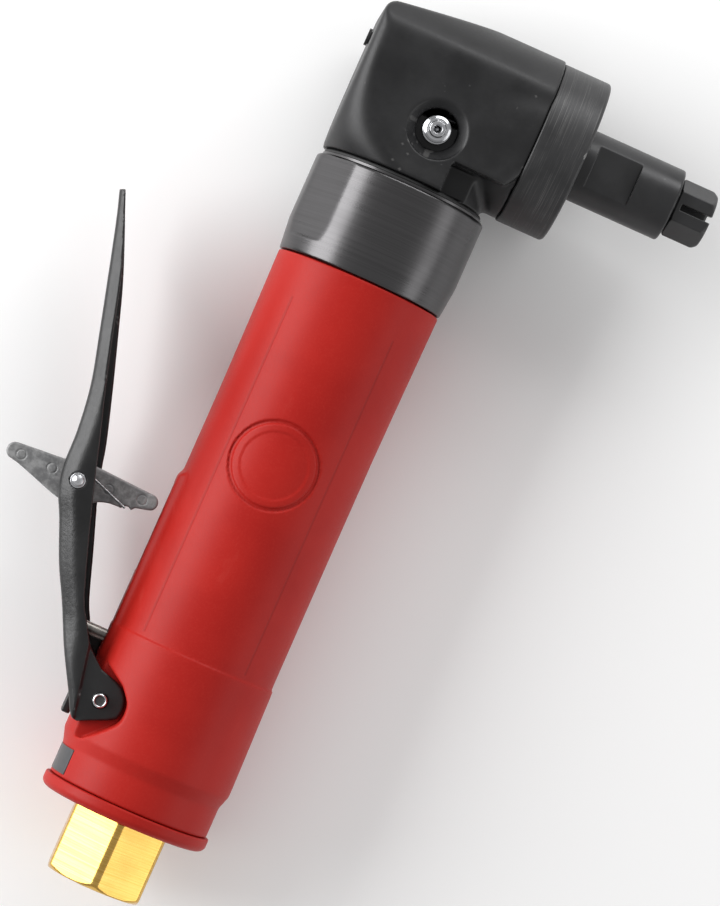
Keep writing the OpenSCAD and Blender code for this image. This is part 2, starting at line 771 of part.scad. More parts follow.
module valve_pin_bush() {
    color(brass) translate([-16.2, valve_pin_y, 0]) rotate([0, 90, 0]) difference() {
        cylinder(r = 2.55, h = 4.8);
        translate([0, 0, -cut]) cylinder(r = valve_pin_r + fit, h = 8);
    }
}

module valve_pin_oring() {
    color(rubber) translate([-10, valve_pin_y, 0]) rotate([0, 90, 0])
        rotate_extrude() translate([1.92, 0]) circle(r = 0.62);
}

module tip_valve() {
    color(steel) {
        rod_y(5, [valve_seat_y - 2.6, valve_seat_y - 1.4]);
        rod_y(valve_stem_r, [valve_seat_y - 1.5, valve_pin_y + 1.6]);
    }
}

module valve_face() {
    color(rubber) ring_y(valve_stem_r + 0.02, 5.2, [valve_seat_y - 1.38, valve_seat_y - 0.05]);
}

module valve_spring() {
    turns = 3.5;
    steps = 56;
    color(steel) wire([for (i = [0:steps]) let(a = 360 * turns * i / steps, r = 5.5 - 1.7 * i / steps)
        [r * cos(a), 31.45 + 3.5 * i / steps, r * sin(a)]], 0.35);
}

inlet_bushing();
inlet_screen();
inlet_oring();
exhaust_cap();
exhaust_muffler();
grip_housing();
info_label();
clamp_nut();
nut_retaining_ring();
nut_washer();
head_oring();
angle_head();
grease_fitting();
grease_check_ball();
head_plug();
bearing_cap();
spindle_seal();
motor_cylinder();
rear_end_plate();
front_end_plate();
cylinder_pin();
motor_spacer();
wave_washer();
rear_bearing_outer_race();
rear_bearing_balls();
rear_bearing_inner_race();
front_bearing_outer_race();
front_bearing_balls();
front_bearing_inner_race();
pinion_bearing_outer_race();
pinion_bearing_balls();
pinion_bearing_inner_race();
spindle_bearing_outer_race();
spindle_bearing_balls();
spindle_bearing_inner_race();
spindle_rear_bush();
rotor();
rotor_vanes();
bevel_pinion();
spindle();
bevel_gear();
gear_nut();
collet();
lever_pin();
throttle_lever();
lock_pin();
lock_lever();
lock_spring();
valve_pin();
valve_pin_bush();
valve_pin_oring();
tip_valve();
valve_face();
valve_spring();
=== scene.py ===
# Right-angle pneumatic die grinder: meshes, materials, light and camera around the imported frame.
# Lengths in this script are millimetres until make_object() turns them into metres.
import json
import math

import bmesh
import bpy
import numpy as np
from mathutils import Matrix, Vector


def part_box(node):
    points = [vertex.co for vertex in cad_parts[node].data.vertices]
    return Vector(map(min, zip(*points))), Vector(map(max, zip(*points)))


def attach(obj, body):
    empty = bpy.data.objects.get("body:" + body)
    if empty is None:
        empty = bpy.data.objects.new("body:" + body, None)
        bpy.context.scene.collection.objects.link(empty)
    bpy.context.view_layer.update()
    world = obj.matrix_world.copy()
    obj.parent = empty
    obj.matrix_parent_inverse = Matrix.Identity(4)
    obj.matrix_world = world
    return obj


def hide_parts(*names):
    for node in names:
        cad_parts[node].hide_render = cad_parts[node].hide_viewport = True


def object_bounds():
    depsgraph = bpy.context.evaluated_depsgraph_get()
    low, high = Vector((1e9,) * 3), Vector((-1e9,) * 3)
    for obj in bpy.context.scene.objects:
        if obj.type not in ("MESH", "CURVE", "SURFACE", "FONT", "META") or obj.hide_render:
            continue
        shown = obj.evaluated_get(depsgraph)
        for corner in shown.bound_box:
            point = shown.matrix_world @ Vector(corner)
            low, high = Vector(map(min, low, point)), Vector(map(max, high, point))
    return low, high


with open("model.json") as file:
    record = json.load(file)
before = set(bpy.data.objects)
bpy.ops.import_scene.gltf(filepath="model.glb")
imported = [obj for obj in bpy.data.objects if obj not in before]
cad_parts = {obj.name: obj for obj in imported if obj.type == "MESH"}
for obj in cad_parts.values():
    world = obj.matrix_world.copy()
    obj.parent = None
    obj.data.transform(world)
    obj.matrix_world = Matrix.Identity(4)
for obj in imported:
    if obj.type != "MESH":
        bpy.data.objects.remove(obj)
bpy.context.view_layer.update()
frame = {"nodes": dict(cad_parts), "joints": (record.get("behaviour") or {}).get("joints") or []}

MM = 0.001

# ---------------------------------------------------------------- driving dimensions, from the frame


def node_box(node):
    """Lowest and highest corner of a CAD node, in millimetres."""
    low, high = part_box(node)
    return np.array(low) / MM, np.array(high) / MM


def joint_place(name):
    """The point that a hinge turns about, in millimetres."""
    for joint in frame["joints"]:
        if joint["name"] == name:
            return np.array(joint["pos_m"]) / MM
    raise KeyError(name)


LEVER_PIVOT = joint_place("throttle_press")
LOCK_PIVOT = joint_place("lock_fold")
SPINDLE_Y = joint_place("spindle_spin")[1]

GRIP_LOW, GRIP_HIGH = node_box("grip_housing")
NUT_LOW, NUT_HIGH = node_box("clamp_nut")
HEAD_LOW, _ = node_box("angle_head")
COLLET_LOW, COLLET_HIGH = node_box("collet")
INLET_LOW, INLET_HIGH = node_box("inlet_bushing")
EXHAUST_LOW, EXHAUST_HIGH = node_box("exhaust_cap")
LEVER_LOW, LEVER_HIGH = node_box("throttle_lever")
LOCK_LOW, LOCK_HIGH = node_box("lock_lever")
GREASE_LOW, GREASE_HIGH = node_box("grease_fitting")
PIN_LOW, PIN_HIGH = node_box("valve_pin")

GRIP_FOOT_R = GRIP_HIGH[2]
GRIP_R = GRIP_FOOT_R - 0.9
GRIP_TOP_R = GRIP_FOOT_R - 0.5
GRIP_BASE_Y = GRIP_LOW[1]
NUT_R = NUT_HIGH[2]
CHEEK_Z = 15.0
GRIP_TOP_Y = 128.4
HEAD_BASE_Y = 150.0
HEAD_FRONT_X = 19.4
BACK_PLUG_Y = 173.5
HALF_ROOT_3 = math.sqrt(0.75)
GREASE_AT = (GREASE_LOW + GREASE_HIGH) / 2
VALVE_PIN_Y = (PIN_LOW[1] + PIN_HIGH[1]) / 2

# ---------------------------------------------------------------- camera, floor and light

CAMERA_AT = Vector((-32.1, 76.8, 780)) * MM
CAMERA_AIM = Vector((13.7, 98.3, 0)) * MM
LEAN = math.radians(23.96)
SENSOR = 36.0
LENS = 158.4


def make_camera():
    data = bpy.data.cameras.new("camera")
    data.sensor_fit = "VERTICAL"
    data.sensor_height = SENSOR
    data.lens = LENS
    data.clip_start = 0.01
    camera = bpy.data.objects.new("camera", data)
    bpy.context.scene.collection.objects.link(camera)
    back = (CAMERA_AT - CAMERA_AIM).normalized()
    # The grip leans to the right of the picture's vertical by LEAN
    up_hint = Vector((-math.sin(LEAN), math.cos(LEAN), 0))
    right = up_hint.cross(back).normalized()
    up = back.cross(right)
    camera.matrix_world = Matrix((
        (right.x, up.x, back.x, CAMERA_AT.x),
        (right.y, up.y, back.y, CAMERA_AT.y),
        (right.z, up.z, back.z, CAMERA_AT.z),
        (0, 0, 0, 1)))
    bpy.context.scene.camera = camera


make_camera()


def make_floor():
    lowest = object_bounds()[0][2]
    bpy.ops.mesh.primitive_plane_add(size=8, location=(0, 0, lowest - 0.0003))
    floor = bpy.context.object
    floor.name = "floor"
    mat = bpy.data.materials.new("floor_paper")
    mat.use_nodes = True
    shader = mat.node_tree.nodes["Principled BSDF"]
    shader.inputs["Base Color"].default_value = (0.97, 0.97, 0.97, 1)
    shader.inputs["Roughness"].default_value = 0.9
    floor.data.materials.append(mat)


def area_light(name, place, aim, size, power, colour=(1, 1, 1)):
    """A soft rectangular light at place, turned to aim, both in millimetres."""
    data = bpy.data.lights.new(name, "AREA")
    data.shape = "RECTANGLE"
    data.size, data.size_y = size[0] * MM, size[1] * MM
    data.energy = power
    data.color = colour
    light = bpy.data.objects.new(name, data)
    bpy.context.scene.collection.objects.link(light)
    light.location = Vector(place) * MM
    light.rotation_euler = (Vector(aim) - Vector(place)).to_track_quat("-Z", "Y").to_euler()


def make_light():
    world = bpy.data.worlds.new("studio")
    bpy.context.scene.world = world
    world.use_nodes = True
    sky = world.node_tree.nodes["Background"]
    sky.inputs["Color"].default_value = (1, 1, 1, 1)
    sky.inputs["Strength"].default_value = 0.44
    middle = (0, 95, 0)
    area_light("left_window", (-780, 130, 330), middle, (900, 580), 9.8)
    area_light("right_window", (760, 80, 300), middle, (900, 300), 1.5)
    area_light("far_window", (60, 820, 330), middle, (700, 240), 2.8)
    bpy.context.scene.view_settings.view_transform = "Standard"


# ---------------------------------------------------------------- solids from distance fields
# A field gives the distance in millimetres from each point to a solid's surface, less than 0 inside.


def smooth_min(a, b, k):
    """Union of two fields with a fillet of about k millimetres."""
    h = np.clip(0.5 + 0.5 * (b - a) / k, 0, 1)
    return b + (a - b) * h - k * h * (1 - h)


def smooth_max(a, b, k):
    """Common part of two fields with the edge rounded by about k millimetres."""
    return -smooth_min(-a, -b, k)


def corner(a, b, r):
    """Common part of two fields whose edge is an arc of radius r."""
    u, v = a + r, b + r
    return np.minimum(np.maximum(u, v), 0) + np.hypot(np.maximum(u, 0), np.maximum(v, 0)) - r


def box_field(p, low, high, r=0.3):
    mid = [(low[i] + high[i]) / 2 for i in range(3)]
    q = [np.abs(p[i] - mid[i]) - (high[i] - low[i]) / 2 + r for i in range(3)]
    outside = np.sqrt(sum(np.maximum(c, 0) ** 2 for c in q))
    return outside + np.minimum(np.maximum(np.maximum(q[0], q[1]), q[2]), 0) - r


def round_bar(p, axis, centre, radius, low, high, r=0.3):
    """Cylinder along an axis (0, 1 or 2) with its ends rounded by r."""
    b, c = [i for i in range(3) if i != axis]
    radial = np.hypot(p[b] - centre[b], p[c] - centre[c]) - radius
    ends = np.abs(p[axis] - (low + high) / 2) - (high - low) / 2
    return corner(radial, ends, r)


def outline_field(x, y, points):
    """Distance to a closed outline in the X-Y plane."""
    nearest = np.full(np.broadcast(x, y).shape, 1e9)
    inside = np.zeros(nearest.shape, bool)
    for i, (ax, ay) in enumerate(points):
        bx, by = points[(i + 1) % len(points)]
        ex, ey = bx - ax, by - ay
        wx, wy = x - ax, y - ay
        t = np.clip((wx * ex + wy * ey) / (ex * ex + ey * ey), 0, 1)
        nearest = np.minimum(nearest, (wx - ex * t) ** 2 + (wy - ey * t) ** 2)
        if ey != 0:
            inside ^= ((ay > y) != (by > y)) & (x < ex * (y - ay) / ey + ax)
    nearest = np.sqrt(nearest)
    return np.where(inside, -nearest, nearest)


def curve_through(points, steps=5):
    """Points of a smooth open curve that passes through the given ones."""
    pts = [np.array(q, float) for q in points]
    pts = [2 * pts[0] - pts[1]] + pts + [2 * pts[-1] - pts[-2]]
    out = []
    for i in range(1, len(pts) - 2):
        a, b, c, d = pts[i - 1:i + 3]
        for k in range(steps):
            t = k / steps
            out.append(0.5 * (2 * b + (c - a) * t + (2 * a - 5 * b + 4 * c - d) * t ** 2
                              + (3 * b - a - 3 * c + d) * t ** 3))
    return out + [pts[-2]]


def make_object(name, verts, faces, smooth=True):
    """A mesh object in the shared frame from points in millimetres."""
    mesh = bpy.data.meshes.new(name)
    mesh.from_pydata((np.asarray(verts) * MM).tolist(), [], [list(map(int, f)) for f in faces])
    mesh.validate()
    mesh.update()
    if smooth:
        mesh.shade_smooth()
    obj = bpy.data.objects.new(name, mesh)
    bpy.context.scene.collection.objects.link(obj)
    return obj


def field_mesh(name, field, low, high, step):
    """Closed mesh of a field's surface: one point in each cell that the surface crosses."""
    count = [int(math.ceil((high[i] - low[i]) / step)) + 1 for i in range(3)]
    grid = [low[i] + step * np.arange(count[i]) for i in range(3)]
    value = field(np.meshgrid(*grid, indexing="ij", sparse=True))
    cells = tuple(n - 1 for n in count)
    total = np.zeros((3, cells[0] * cells[1] * cells[2]))
    hits = np.zeros(total.shape[1])
    quads = []
    for a in range(3):
        b, c = (a + 1) % 3, (a + 2) % 3
        first = [slice(None)] * 3
        second = [slice(None)] * 3
        first[a], second[a] = slice(0, -1), slice(1, None)
        v0, v1 = value[tuple(first)], value[tuple(second)]
        index = np.argwhere((v0 < 0) != (v1 < 0))
        keep = (index[:, b] > 0) & (index[:, b] < count[b] - 1)
        keep &= (index[:, c] > 0) & (index[:, c] < count[c] - 1)
        index = index[keep]
        start, end = v0[tuple(index.T)], v1[tuple(index.T)]
        point = np.array(low) + step * index
        point[:, a] += step * start / (start - end)
        ring = []
        for shift_b, shift_c in ((0, 0), (-1, 0), (-1, -1), (0, -1)):
            cell = index.copy()
            cell[:, b] += shift_b
            cell[:, c] += shift_c
            flat = np.ravel_multi_index(tuple(cell.T), cells)
            for i in range(3):
                total[i] += np.bincount(flat, point[:, i], total.shape[1])
            hits += np.bincount(flat, minlength=total.shape[1])
            ring.append(flat)
        quad = np.stack(ring, 1)
        quad[start >= 0] = quad[start >= 0][:, ::-1]
        quads.append(quad)
    used = np.flatnonzero(hits)
    number = np.full(total.shape[1], -1)
    number[used] = np.arange(len(used))
    points = (total[:, used] / hits[used]).T
    # Slide every point onto the true surface
    nudge = step * 0.05
    for _ in range(4):
        here = field(points.T)
        slope = np.stack([(field((points + nudge * axis).T) - field((points - nudge * axis).T))
                          / (2 * nudge) for axis in np.eye(3)], 1)
        size = np.maximum((slope ** 2).sum(1), 0.2)
        move = -slope * (here / size)[:, None]
        length = np.linalg.norm(move, axis=1, keepdims=True)
        points += move * np.minimum(1, 0.4 * step / np.maximum(length, 1e-9))
    return make_object(name, points, number[np.concatenate(quads)])


def fillet(points, closed=False):
    """Outline points (a, b) or (a, b, r): a corner with an r becomes an arc of that radius."""
    out = []
    last = len(points) - 1
    for i, q in enumerate(points):
        at = np.array(q[:2], float)
        if len(q) < 3 or (not closed and i in (0, last)):
            out.append(at)
            continue
        before = np.array(points[i - 1][:2], float) - at
        after = np.array(points[(i + 1) % len(points)][:2], float) - at
        u, v = before / np.linalg.norm(before), after / np.linalg.norm(after)
        half = math.acos(np.clip(u @ v, -1, 1)) / 2
        reach = min(q[2] / math.tan(half), 0.49 * np.linalg.norm(before),
                    0.49 * np.linalg.norm(after))
        radius = reach * math.tan(half)
        centre = at + (u + v) / np.linalg.norm(u + v) * radius / math.sin(half)
        start, end = at + u * reach - centre, at + v * reach - centre
        turn = math.atan2(start[0] * end[1] - start[1] * end[0], start @ end)
        steps = max(3, int(abs(turn) / math.radians(15)) + 1)
        for k in range(steps + 1):
            a = turn * k / steps
            out.append(centre + [start[0] * math.cos(a) - start[1] * math.sin(a),
                                 start[0] * math.sin(a) + start[1] * math.cos(a)])
    return out


def divide(points, longest):
    """The same open outline with no stretch longer than the given length."""
    out = [points[0]]
    for a, b in zip(points, points[1:]):
        n = max(1, int(math.ceil(np.linalg.norm(b - a) / longest)))
        out += [a + (b - a) * k / n for k in range(1, n + 1)]
    return out


def turned(name, outline, axis="Y", centre=(0, 0, 0), segments=192, shape=None, longest=None):
    """Closed turned piece from (radius, place) points that start and end on the axis or meet.

    shape(radius, place, angle) may change each point's radius. Angle 0 points along +X for a
    piece on the Y axis, and a quarter turn points along +Z."""
    points = fillet(outline)
    if longest:
        points = divide(points, longest)
    r = np.array([q[0] for q in points])[:, None]
    s = np.array([q[1] for q in points])[:, None]
    angle = np.linspace(0, 2 * math.pi, segments, endpoint=False)[None, :]
    radius = r + 0 * angle if shape is None else shape(r, s, angle)
    place = s + 0 * angle
    u, v = radius * np.cos(angle), radius * np.sin(angle)
    if axis == "Y":
        xyz = [u, place, v]
    elif axis == "X":
        xyz = [place, u, v]
    else:
        xyz = [u, v, place]
    verts = np.stack(xyz, -1) + np.array(centre, float)
    closed = np.allclose(points[0], points[-1])
    rows = len(points) - 1 if closed else len(points)
    flat = verts[:rows].reshape(-1, 3)
    index = np.arange(rows * segments).reshape(rows, segments)
    ahead = np.roll(index, -1, 1)
    up = np.roll(index, -1, 0)
    up_ahead = np.roll(ahead, -1, 0)
    last = rows if closed else rows - 1
    quads = np.stack([index, ahead, up_ahead, up], -1)[:last].reshape(-1, 4)
    obj = make_object(name, flat, quads)
    merge_and_face_out(obj)
    return obj


def merge_and_face_out(obj):
    """Joins points that coincide, such as a row on the axis, and turns every face outwards."""
    bm = bmesh.new()
    bm.from_mesh(obj.data)
    bmesh.ops.remove_doubles(bm, verts=bm.verts, dist=1e-7)
    bmesh.ops.recalc_face_normals(bm, faces=bm.faces)
    bm.to_mesh(obj.data)
    bm.free()
    obj.data.shade_smooth()


def stands_for(piece, body, slot, material, *nodes):
    """The piece rides on a body, takes a finish, and takes the place of CAD nodes."""
    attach(piece, body)
    if nodes:
        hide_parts(*nodes)
    piece.data.materials.clear()
    piece.data.materials.append(material)


# ---------------------------------------------------------------- materials


class Nodes:
    """Short way to wire a node material: each call adds a node and returns its output."""

    def __init__(self, name):
        self.mat = bpy.data.materials.new(name)
        self.mat.use_nodes = True
        self.tree = self.mat.node_tree
        self.shader = self.tree.nodes["Principled BSDF"]
        self.place = self.tree.nodes.new("ShaderNodeTexCoord").outputs["Object"]

    def set(self, **values):
        """Constants on the shader's own sockets; a name's underscores stand for spaces."""
        for key, value in values.items():
            self.shader.inputs[key.replace("_", " ")].default_value = value

    def link(self, value, socket):
        if isinstance(value, bpy.types.NodeSocket):
            self.tree.links.new(value, socket)
        else:
            socket.default_value = value

    def scaled(self, x, y, z):
        node = self.tree.nodes.new("ShaderNodeMapping")
        self.link(self.place, node.inputs["Vector"])
        node.inputs["Scale"].default_value = (x, y, z)
        return node.outputs["Vector"]

    def noise(self, scale, detail=4, rough=0.55, vector=None):
        """Noise with about `scale` waves to the metre."""
        node = self.tree.nodes.new("ShaderNodeTexNoise")
        self.link(vector or self.place, node.inputs["Vector"])
        node.inputs["Scale"].default_value = scale
        node.inputs["Detail"].default_value = detail
        node.inputs["Roughness"].default_value = rough
        return node.outputs["Fac"]

    def steps(self, value, low, high, out_low=0.0, out_high=1.0):
        """Value from low..high to out_low..out_high, smoothed and clamped."""
        node = self.tree.nodes.new("ShaderNodeMapRange")
        node.interpolation_type = "SMOOTHSTEP"
        self.link(value, node.inputs["Value"])
        for key, number in zip(("From Min", "From Max", "To Min", "To Max"),
                               (low, high, out_low, out_high)):
            node.inputs[key].default_value = number
        return node.outputs["Result"]

    def math(self, what, a, b=0.0, clamp=False):
        node = self.tree.nodes.new("ShaderNodeMath")
        node.operation = what
        node.use_clamp = clamp
        self.link(a, node.inputs[0])
        self.link(b, node.inputs[1])
        return node.outputs[0]

    def mix(self, factor, a, b):
        node = self.tree.nodes.new("ShaderNodeMix")
        node.data_type = "RGBA"
        self.link(factor, node.inputs["Factor"])
        self.link(a, node.inputs[6])
        self.link(b, node.inputs[7])
        return node.outputs[2]

    def edge_wear(self):
        """More than 0.5 on outside edges, 0.5 on flat faces."""
        node = self.tree.nodes.new("ShaderNodeNewGeometry")
        return node.outputs["Pointiness"]

    def axis(self, which):
        node = self.tree.nodes.new("ShaderNodeSeparateXYZ")
        self.link(self.place, node.inputs[0])
        return node.outputs[which]

    def bump(self, height, depth, strength=1.0, before=None):
        """Surface normal pushed by height times depth metres."""
        node = self.tree.nodes.new("ShaderNodeBump")
        node.inputs["Strength"].default_value = strength
        node.inputs["Distance"].default_value = depth
        self.link(height, node.inputs["Height"])
        if before is not None:
            self.link(before, node.inputs["Normal"])
        return node.outputs["Normal"]

    def finish(self, colour, roughness, normal=None):
        self.link(colour, self.shader.inputs["Base Color"])
        self.link(roughness, self.shader.inputs["Roughness"])
        if normal is not None:
            self.link(normal, self.shader.inputs["Normal"])
        return self.mat


def rgb(r, g, b):
    """Linear colour, with alpha, from screen values of 0 to 255."""
    return tuple(((c / 255 + 0.055) / 1.055) ** 2.4 if c > 10 else c / 255 / 12.92
                 for c in (r, g, b)) + (1.0,)


def red_composite():
    """Glass-filled moulded grip: fine matt grain, faint cloudiness, scuffs and parting lines."""
    n = Nodes("red_composite")
    cloud = n.noise(55, 3)
    grain = n.noise(2600, 3, 0.6)
    scuff = n.steps(n.noise(260, 5, 0.7, n.scaled(1, 0.25, 1)), 0.62, 0.75)
    colour = n.mix(n.steps(cloud, 0.35, 0.65), rgb(160, 25, 19), rgb(168, 30, 23))
    colour = n.mix(n.math("MULTIPLY", n.steps(grain, 0.45, 0.75), 0.16), colour, rgb(190, 54, 43))
    colour = n.mix(n.math("MULTIPLY", scuff, 0.08), colour, rgb(198, 86, 74))
    rough = n.math("ADD", n.steps(grain, 0.3, 0.7, 0.42, 0.52), n.math("MULTIPLY", scuff, 0.08))
    across, along, height = n.axis(0), n.axis(1), n.axis(2)
    span = n.math("MULTIPLY", n.steps(along, 0.0495, 0.0500), n.steps(along, 0.1200, 0.1205, 1, 0))
    front = n.math("MULTIPLY", span, n.steps(height, 0.0, 0.0005))
    seam = 0.0
    for place in (-0.0112, 0.0100):
        off = n.math("ABSOLUTE", n.math("SUBTRACT", across, place))
        seam = n.math("ADD", seam, n.steps(off, 0.0001, 0.00028, 1, 0))
    seam = n.math("MULTIPLY", seam, front)
    colour = n.mix(n.math("MULTIPLY", seam, 0.3), colour, rgb(110, 20, 17))
    n.set(Specular_IOR_Level=0.19)
    return n.finish(colour, rough, n.bump(n.math("SUBTRACT", grain, n.math("MULTIPLY", seam, 3.0)),
                                          0.00002, 0.6))


def black_oxide(name="black_oxide", tone=37, rough_mid=0.42, grain=1800, depth=0.00001, gloss=0.5):
    """Blackened steel: cloudy oxide with fine dust specks and pale rubbed edges."""
    n = Nodes(name)
    cloud = n.noise(70, 5, 0.6)
    fine = n.noise(grain, 4, 0.65)
    speck = n.steps(n.noise(700, 2, 0.5), 0.74, 0.78)
    wear = n.steps(n.edge_wear(), 0.55, 0.64)
    base = n.mix(n.steps(cloud, 0.35, 0.7), rgb(tone - 6, tone - 6, tone - 5),
                 rgb(tone + 5, tone + 5, tone + 6))
    base = n.mix(n.math("MULTIPLY", speck, 0.14), base, rgb(120, 120, 120))
    base = n.mix(n.math("MULTIPLY", wear, 0.35), base, rgb(118, 117, 116))
    rough = n.math("ADD", n.steps(cloud, 0.3, 0.7, rough_mid - 0.06, rough_mid + 0.06),
                   n.steps(fine, 0.3, 0.7, -0.03, 0.03))
    n.set(Metallic=0.35, Specular_IOR_Level=gloss)
    return n.finish(base, rough, n.bump(fine, depth, 0.4))


def machined(name, dark, light, along, rough_low=0.22, rough_high=0.34, metallic=0.95, depth=0.000005):
    """Turned metal: fine tool marks round the axis `along` (0 X, 1 Y, 2 Z), faint stain."""
    n = Nodes(name)
    stretch = [30.0, 30.0, 30.0]
    stretch[along] = 3600.0
    marks = n.noise(1.0, 3, 0.6, n.scaled(*stretch))
    stain = n.noise(90, 4, 0.6)
    colour = n.mix(n.steps(marks, 0.3, 0.7), dark, light)
    colour = n.mix(n.math("MULTIPLY", n.steps(stain, 0.45, 0.75), 0.35), colour, dark)
    rough = n.math("ADD", n.steps(marks, 0.25, 0.75, rough_low, rough_high),
                   n.steps(stain, 0.4, 0.7, 0.0, 0.06))
    n.set(Metallic=metallic)
    return n.finish(colour, rough, n.bump(marks, depth, 0.35))


def hollow_pin_painted_shade():
    """Bright steel rim round a drilled end; inside the rim the end is painted dark, a painted shade that
    stands for the hole's shadow.
    """
    n = Nodes("hollow_pin_painted_shade")
    x = n.math("SUBTRACT", n.axis(0), float(LEVER_PIVOT[0]) * MM)
    y = n.math("SUBTRACT", n.axis(1), float(LEVER_PIVOT[1]) * MM)
    off = n.math("SQRT", n.math("ADD", n.math("MULTIPLY", x, x), n.math("MULTIPLY", y, y)))
    rim = n.steps(off, 0.00094, 0.00104)
    stain = n.noise(2200, 3)
    # Inside the rim the colour is painted shade: dark steel, mottled by noise, in place of the hole's
    # shadow
    colour = n.mix(rim, n.mix(stain, rgb(70, 70, 71), rgb(98, 98, 99)), rgb(196, 197, 199))
    rough = n.math("ADD", n.steps(rim, 0, 1, 0.5, 0.2), n.steps(stain, 0.3, 0.7, 0.0, 0.06))
    n.set(Metallic=0.9)
    return n.finish(colour, rough, n.bump(stain, 0.000004, 0.3))


def rubber():
    n = Nodes("nitrile_rubber")
    bloom = n.noise(300, 4)
    colour = n.mix(n.steps(bloom, 0.4, 0.7), rgb(22, 22, 22), rgb(36, 36, 37))
    return n.finish(colour, n.steps(bloom, 0.3, 0.7, 0.5, 0.66), n.bump(n.noise(2500), 0.00001, 0.4))


def felt():
    n = Nodes("muffler_felt")
    fibre = n.noise(1400, 5, 0.7, n.scaled(1, 3, 1))
    colour = n.mix(n.steps(fibre, 0.35, 0.7), rgb(120, 116, 108), rgb(196, 190, 178))
    return n.finish(colour, 0.95, n.bump(fibre, 0.0002, 0.8))


def label_foil():
    n = Nodes("label_foil")
    print_wear = n.noise(500, 4)
    colour = n.mix(n.steps(print_wear, 0.4, 0.7), rgb(52, 53, 55), rgb(66, 67, 70))
    return n.finish(colour, n.steps(print_wear, 0.3, 0.7, 0.3, 0.42), n.bump(print_wear, 0.00001, 0.3))


def cast_zinc():
    """Die-cast lock-off lever: grey with mottled flow marks."""
    n = Nodes("cast_zinc")
    flow = n.noise(620, 5, 0.65)
    patch = n.noise(160, 4, 0.6)
    colour = n.mix(n.steps(flow, 0.35, 0.68), rgb(112, 112, 113), rgb(150, 150, 150))
    colour = n.mix(n.math("MULTIPLY", n.steps(patch, 0.5, 0.7), 0.4), colour, rgb(116, 116, 116))
    n.set(Metallic=0.35)
    return n.finish(colour, n.steps(flow, 0.3, 0.7, 0.44, 0.56), n.bump(flow, 0.00003, 0.5))


def vane_laminate():
    n = Nodes("vane_laminate")
    weave = n.noise(900, 4, 0.6, n.scaled(1, 8, 1))
    colour = n.mix(n.steps(weave, 0.35, 0.65), rgb(110, 84, 52), rgb(146, 116, 78))
    return n.finish(colour, 0.6, n.bump(weave, 0.00003, 0.4))


# ---------------------------------------------------------------- grip and exhaust ring


def profile(y, points):
    """Radius at each height along a filleted outline of (radius, height) points."""
    line = fillet(points)
    return np.interp(y, [q[1] for q in line], [q[0] for q in line])


EAR_RECESS = fillet([(-25, 41.5), (-15.4, 41.5, 1), (-10.6, 38.5, 3), (-8.2, 35.6, 4),
                     (-8.0, 31.8, 4), (-10.2, 29.4, 4), (-13.8, 25.9, 1), (-15.4, 25.9, 0.8),
                     (-16.2, 28.3, 0.8), (-25, 28.3)], closed=True)
BADGE_AT = (-1.3, 88.9)
LABEL_TURN = 13


def step_up(value, low, high):
    t = np.clip((value - low) / (high - low), 0, 1)
    return t * t * (3 - 2 * t)


def badge_depth(x, y):
    """Depth of the moulded round badge: a groove, a flat ring and a shallow blank middle."""
    rho = np.hypot(x - BADGE_AT[0], y - BADGE_AT[1])
    soft = 0.28
    groove = step_up(rho, 8.0, 8.0 + soft) * (1 - step_up(rho, 9.0 - soft, 9.0))
    middle = 1 - step_up(rho, 6.5, 6.5 + soft)
    return 0.42 * groove + 0.16 * middle


def grip_field(p):
    x, y, z = p
    base, top = GRIP_BASE_Y, GRIP_TOP_Y
    outer_r = profile(y, [
        (GRIP_R, base - 1), (GRIP_R, 23.6, 2.5), (GRIP_FOOT_R, 26.3, 2.5), (GRIP_FOOT_R, 28.5, 8),
        (17.05, 47.6), (17.0, 48.5), (16.72, 48.75), (16.68, 50), (GRIP_R, 80, 90), (GRIP_R, 98, 90),
        (16.75, 112, 60), (GRIP_TOP_R, top), (GRIP_TOP_R, top + 1)])
    rho = np.hypot(x, z)
    skin = rho - outer_r + badge_depth(x, y) * (np.abs(z) > 8)
    body = corner(corner(skin, y - top, 0.3), base - y, 0.4)
    pad = box_field(p, (-17.1, 41.5, -5.4), (-10, 80.5, 5.4), 0.9)
    body = smooth_min(body, pad, 1.5)
    body = smooth_max(body, -box_field(p, (-20, 60, -4.3), (-16, 78, 4.3), 0.6), 0.5)
    recess = np.maximum(outline_field(x, y, EAR_RECESS), 8 - np.abs(z))
    body = smooth_max(body, -recess, 0.45)
    spigot = round_bar(p, 1, (0, 0, 0), 14.5, 100, 136, 0.4)
    spigot = np.maximum(spigot, -np.maximum(13.7 - rho, np.abs(y - 132.1) - 0.8))
    body = np.minimum(body, spigot)
    hollow = round_bar(p, 1, (0, 0, 0), 13.05, 61, 140, 0.05)
    for radius, low, high in ((8.55, 10, 31), (6.2, 30, 38), (4.0, 37, 43), (5.4, 42.4, 52),
                              (3.0, 51, 62)):
        hollow = np.minimum(hollow, round_bar(p, 1, (0, 0, 0), radius, low, high, 0.05))
    chamber = np.maximum(np.maximum(rho - 15, 9.4 - rho), y - 24)
    bores = np.minimum(round_bar(p, 0, (0, VALVE_PIN_Y, 0), 2.6, -22, -8, 0.05),
                       round_bar(p, 2, (LEVER_PIVOT[0], LEVER_PIVOT[1], 0), 1.45, -12, 12, 0.05))
    for at in (-40, 0, 40):
        a = math.radians(at)
        port = np.hypot(x - 12.2 * math.cos(a), z + 12.2 * math.sin(a)) - 1.9
        hollow = np.minimum(hollow, np.maximum(port, np.abs(y - 42) - 19.5))
    label = np.maximum(np.maximum(16.42 - rho, np.abs(y - 20.6) - 2.75),
                       np.abs(np.arctan2(z, -x) - math.radians(LABEL_TURN)) * 16.5 - 5.6)
    cuts = np.minimum(np.minimum(hollow, chamber), np.minimum(bores, label))
    return smooth_max(body, -cuts, 0.15)


